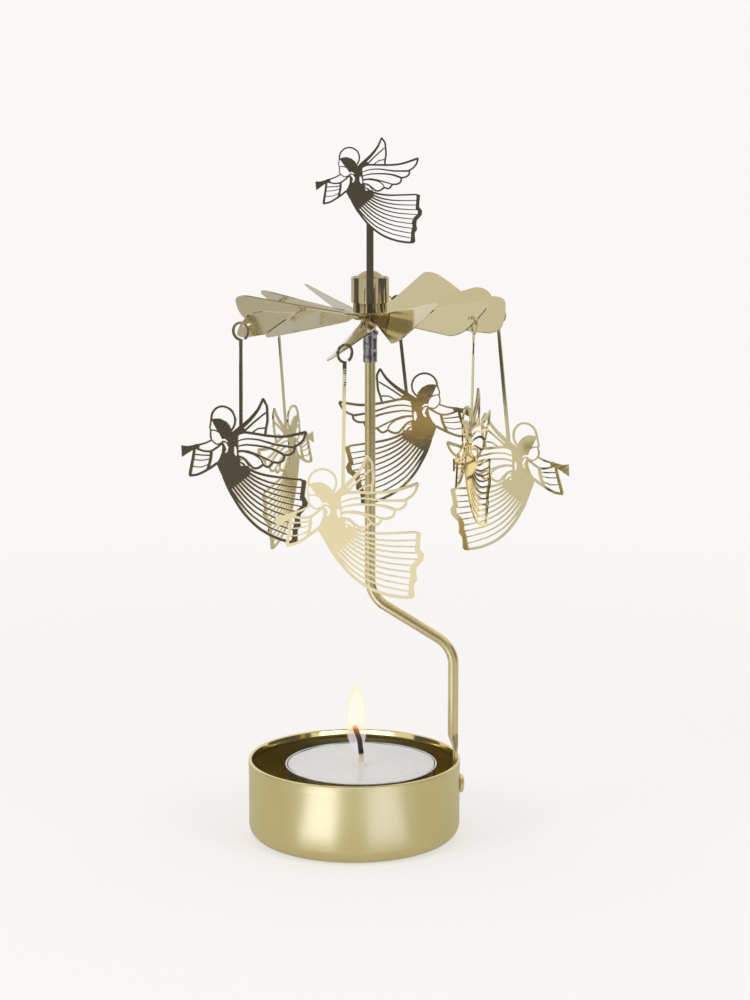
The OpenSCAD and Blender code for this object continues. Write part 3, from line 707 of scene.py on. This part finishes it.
# %% Wick
def braided_wick(rows=110, sides=30):
    """Centre line: straight, then an arc of 17 mm radius. Its radius is
    0.64 + 0.06 cos(3 (t - winding * height)) and shrinks to nothing over the tip."""
    s = np.linspace(0, 1, rows)
    length, straight, curl = 27.1, 19.2, 17.0
    run = s * length
    a = np.clip(run - straight, 0, None) / curl
    x = tealight_x - curl * (1 - np.cos(a))
    z = 1.34 + np.minimum(run, straight) + curl * np.sin(a)
    y = 0.12 * np.sin(run * 0.9) * (run > straight - 3)
    t = np.arange(sides)[None] / sides * 2 * np.pi
    past_tip = np.clip((run - length + 0.7) / 0.72, 0, 1)
    size = np.sqrt(np.clip(1 - past_tip ** 2, 0.0, 1))[:, None]
    r = (0.64 + 0.06 * np.cos(3 * (t - 0.55 * run[:, None]))) * size
    cx, cz = np.cos(a)[:, None], np.sin(a)[:, None]
    return np.stack([x[:, None] + r * np.cos(t) * cx, y[:, None] + r * np.sin(t),
                     z[:, None] + r * np.cos(t) * cz], axis=-1)


wick_points = with_ends(braided_wick())
make_piece("braided_wick", wick_points, grid_faces(*wick_points.shape[:2],
                                                   around_columns=True),
           wick_finish, "tealight", "wick", "wick")
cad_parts["wick_tab"].data.materials.clear()
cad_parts["wick_tab"].data.materials.append(tin_foil)

# %% [markdown]
# ## The flame
# The photograph shows the candle alight. A flame has no skin: its edge is yellow and thin, its
# heart is white, and round the wick one looks through it. Thin shells, one in the other, each
# let part of the light through, so their sum is strong in the middle and soft at the edge.
# There are only three, because a ray that passes too many see-through faces ends in black.


# %% Finish of the flame
def flame_finish(name, low, high, tip, heart, foot, thin, thick, behind=0.0):
    """Glow from foot to heart to tip colour up the flame, and an opacity that goes from thin
    at the wick to thick above it and falls again at the tip. Half of the foot, past the
    wick, is thicker by behind, so that the wick stays dark against it."""
    material, shader, place = new_finish(name)
    x, y, z = place.axes()
    height = (z - low) / (high - low)
    wisps = place.stretched(1, 1, 0.25).noise(500.0, 1.0)
    glow = height.node("ShaderNodeValToRGB", {"stops": [
        (0.0, foot), (1.0, tip), (0.20, foot), (0.31, heart), (0.80, heart)]},
        {"Fac": height})
    past_wick = y.between(-0.3 * MM, 0.6 * MM) * (1 - height.between(0.3, 0.5))
    body = (height + wisps * 0.06).between(0.39, 0.56)
    fading = 1 - height.between(0.80, 1.05) * 0.5
    alpha = thin + past_wick * behind + body * (thick - thin) * fading
    return set_finish(material, shader, Base_Color=(0.0, 0.0, 0.0), Roughness=1.0,
                      Specular_IOR_Level=0.0, Emission_Color=glow, Emission_Strength=1.0,
                      Alpha=alpha)


# %% Shells of the flame
def flame_shells(low, high, radius, shells, narrower, rows=40, turns=48):
    """Each shell is a drop: radius * h^0.5 * (1 - h)^0.62, scaled so that its widest is 1,
    for h from 0 at the foot to 1 at the tip. Inner shells are narrower and start higher."""
    h = (0.5 - 0.5 * np.cos(np.linspace(0, np.pi, rows)))[None]
    drop = h ** 0.5 * (1 - h) ** 0.62
    drop = drop / drop.max()
    t = np.arange(turns)[:, None] / turns * 2 * np.pi
    points, faces = [], []
    for i in range(shells):
        share = 1 - narrower * i
        z0, z1 = low + 1.4 * i, high - 0.8 * i
        z = z0 + (z1 - z0) * h + 0 * t
        lean = 0.3 * np.sin(np.pi * h)
        x = tealight_x - 0.9 - lean + radius * share * drop * np.cos(t)
        y = radius * share * drop * np.sin(t)
        points.append(np.stack([x, y, z], axis=-1).reshape(-1, 3))
        faces.append(grid_faces(turns, rows, around_rows=True) + i * rows * turns)
    return np.concatenate(points), np.concatenate(faces)


flame_low, flame_high = 21.3, 38.9
veil = make_piece("flame_veil", *flame_shells(flame_low, flame_high, 2.6, 1, 0.0),
                  flame_finish("flame_edge", flame_low * MM, flame_high * MM,
                               (0.97, 0.94, 0.38), (1.0, 0.93, 0.52), (0.84, 0.80, 0.86),
                               0.03, 0.36, 0.55), "tealight")
heart_shells = flame_shells(flame_low + 2.4, flame_high - 1.5, 2.15, 2, 0.16)
heart = make_piece("flame_heart", *heart_shells,
                   flame_finish("flame_core", flame_low * MM, flame_high * MM,
                                (1.0, 1.0, 0.86), (1.0, 1.0, 0.98), (1.0, 0.72, 0.42),
                                0.0, 0.75), "tealight")
veil.visible_shadow = heart.visible_shadow = False

# %% [markdown]
# ## Floor, background and light
# A plain pale floor keeps a soft shadow and runs out into white. Bare white makes brass look
# like paper, because bright metal has hardly a colour but that of what it mirrors. So dark
# boards and bright cards, which only reflections can see, stand round the table, as they do
# in a studio.

# %% Floor that runs out into the background
white = (0.956, 0.939, 0.922)
floor_mesh = bpy.data.meshes.new("studio_floor")
floor_mesh.from_pydata([(-6, -6, 0), (6, -6, 0), (6, 6, 0), (-6, 6, 0)], [], [(0, 1, 2, 3)])
floor = bpy.data.objects.new("studio_floor", floor_mesh)
scene.collection.objects.link(floor)
floor_finish, floor_shader, floor_place = new_finish("studio_floor")
set_finish(floor_finish, floor_shader, Base_Color=(0.90, 0.885, 0.87), Roughness=0.9,
           Specular_IOR_Level=0.1)
across, deep, _ = floor_place.axes()
far = ((across ** 2.0 + deep ** 2.0) ** 0.5).between(0.10, 0.42)
seen_by_camera = floor_place.node("ShaderNodeLightPath", out="Is Camera Ray")
seen_in_metal = floor_place.node("ShaderNodeLightPath", out="Is Glossy Ray")
glow_level = seen_by_camera + seen_in_metal * 0.60
glow_share = seen_by_camera * (0.62 + far * 0.38) + seen_in_metal * 0.75
glow = floor_place.node("ShaderNodeEmission", {}, {"Color": (*white, 1.0),
                                                   "Strength": glow_level})
lit = Wire(floor_finish.node_tree, floor_shader.outputs[0])
both = floor_place.node("ShaderNodeMixShader", {}, {0: glow_share, 1: lit, 2: glow})
floor_finish.node_tree.links.new(both.socket,
                                 floor_finish.node_tree.nodes["Material Output"].inputs[0])
floor_mesh.materials.append(floor_finish)

# %% World
world = bpy.data.worlds.new("studio_world")
scene.world = world
world.use_nodes = True
sky = Wire(world.node_tree)
rays = [sky.node("ShaderNodeLightPath", out=f"Is {kind} Ray")
        for kind in ("Camera", "Glossy", "Transmission")]
seen = sky.maths("MAXIMUM", sky.maths("MAXIMUM", rays[0], rays[1]), rays[2])
background = world.node_tree.nodes["Background"]
world.node_tree.links.new(seen.blend((0.62, 0.62, 0.62), white).socket,
                          background.inputs["Color"])
background.inputs["Strength"].default_value = 1.0


# %% Lamps
def soft_lamp(name, place, size, power):
    """Area lamp at place, in millimetres, that looks at the middle of the object."""
    data = bpy.data.lights.new(name, "AREA")
    data.shape, data.size, data.size_y = "RECTANGLE", size[0] * MM, size[1] * MM
    data.energy = power
    lamp = bpy.data.objects.new(name, data)
    scene.collection.objects.link(lamp)
    direction = np.array([4, 0, 80]) - np.array(place, float)
    lamp.location = np.array(place) * MM
    flat = np.hypot(direction[0], direction[1])
    lamp.rotation_euler = (np.arctan2(flat, -direction[2]), 0,
                           np.arctan2(-direction[0], direction[1]))
    lamp.visible_glossy = False
    return lamp


soft_lamp("lamp_left", (-560, -420, 520), (300, 300), 1.6)
soft_lamp("lamp_right", (560, -420, 560), (300, 300), 1.2)
soft_lamp("lamp_over", (0, 60, 950), (800, 600), 2.2)


# %% Cards and boards that only reflections see
def card(name, corners, level, base=(0.0, 0.0, 0.0)):
    """Card through its corners in millimetres, that glows at level (red, green, blue). Where
    its glow isn't seen, it has the base colour."""
    mesh = bpy.data.meshes.new(name)
    mesh.from_pydata((np.array(corners, float) * MM).tolist(), [],
                     [tuple(range(len(corners)))])
    made = bpy.data.objects.new(name, mesh)
    scene.collection.objects.link(made)
    finish, shader, _ = new_finish(name)
    set_finish(finish, shader, Base_Color=base, Specular_IOR_Level=0.0,
               Emission_Color=level, Emission_Strength=1.0)
    mesh.materials.append(finish)
    made.visible_camera = made.visible_diffuse = made.visible_shadow = False
    made.visible_transmission = False
    return made


def lying(low_corner, high_corner, height):
    """Corners of a card that lies flat, between two opposite corners (x, y)."""
    (x0, y0), (x1, y1) = low_corner, high_corner
    return [(x0, y0, height), (x1, y0, height), (x1, y1, height), (x0, y1, height)]


def wedge(start, end, inner, outer, height):
    """Corners of part of a flat ring round the cup: angles are from the camera's side,
    positive to the right."""
    a = np.radians(np.linspace(start, end, 12))
    ring = [np.stack([r * np.sin(t), -r * np.cos(t), height + 0 * t], axis=1)
            for r, t in ((inner, a), (outer, a[::-1]))]
    return np.concatenate(ring)


def upright(points, low, high):
    """Corners of a card that stands on the line between two points (x, y)."""
    (x0, y0), (x1, y1) = points
    return [(x0, y0, low), (x1, y1, low), (x1, y1, high), (x0, y0, high)]


dark, floor_like = (0.105, 0.103, 0.122), (0.62, 0.61, 0.60)
cup_left = card("glow_by_cup_left", wedge(-43, -14, 40, 190, 0.2), (1.03, 1.11, 2.06),
                floor_like)
cup_right = card("glow_by_cup_right", wedge(11, 42, 40, 190, 0.2), (0.50, 0.59, 1.31),
                 floor_like)
front_floor = card("front_floor", lying((-330, -900), (330, -285), 0.3),
                   (1.04, 1.02, 1.08), dark)
left_floor = card("left_floor", [(-700, -560, 0.3), (-332, -560, 0.3), (-230, -90, 0.3),
                                 (-700, -90, 0.3)], (0.70, 0.70, 0.68), dark)
window_left = card("window_left", upright([(-640, -205), (-340, -640)], 8, 60),
                   (0.9, 0.95, 0.95), dark)
card("dark_camera", upright([(-330, -905), (330, -905)], 0, 420), dark)
card("dark_left", upright([(-600, -190), (-600, 265)], 0, 320), dark)
card("dark_right", upright([(608, -490), (608, 296)], 0, 320), dark)
card("dim_ceiling", [(-900, -950, 300), (900, -950, 300), (900, -300, 1100),
                     (-900, -300, 1100)], (0.42, 0.38, 0.32))
warm_front = card("warm_front", lying((8, -700), (52, -560), 0.6), (0.48, 0.345, 0.12), dark)
warm_behind = card("warm_behind", lying((90, 300), (380, 800), 0.6), (0.62, 0.50, 0.22),
                   (0.72, 0.66, 0.50))
rim_light = card("glow_by_rim", upright([(-890, -890), (750, -890)], 205, 415),
                 (3.4, 3.6, 4.2), dark)


def shine_on(card_object, *names):
    """The card's light is seen only in the named nodes and pieces."""
    chosen = bpy.data.collections.new("lit_by_" + card_object.name)
    for name in names:
        chosen.objects.link(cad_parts[name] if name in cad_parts
                            else bpy.data.objects[name])
    card_object.light_linking.receiver_collection = chosen


shine_on(cup_left, "pressed_cup", "bent_post")
shine_on(cup_right, "pressed_cup")
shine_on(rim_light, "pressed_cup")
shine_on(warm_front, "hanging_angel_5")
shine_on(warm_behind, "hanging_angel_1")
shine_on(front_floor, "hanging_angel_2")
shine_on(left_floor, "hanging_angel_6", "bent_post", "domed_cap", "top_angel")
shine_on(window_left, "bent_post", "domed_cap", "top_angel", "pinched_sleeve", "bladed_fan")
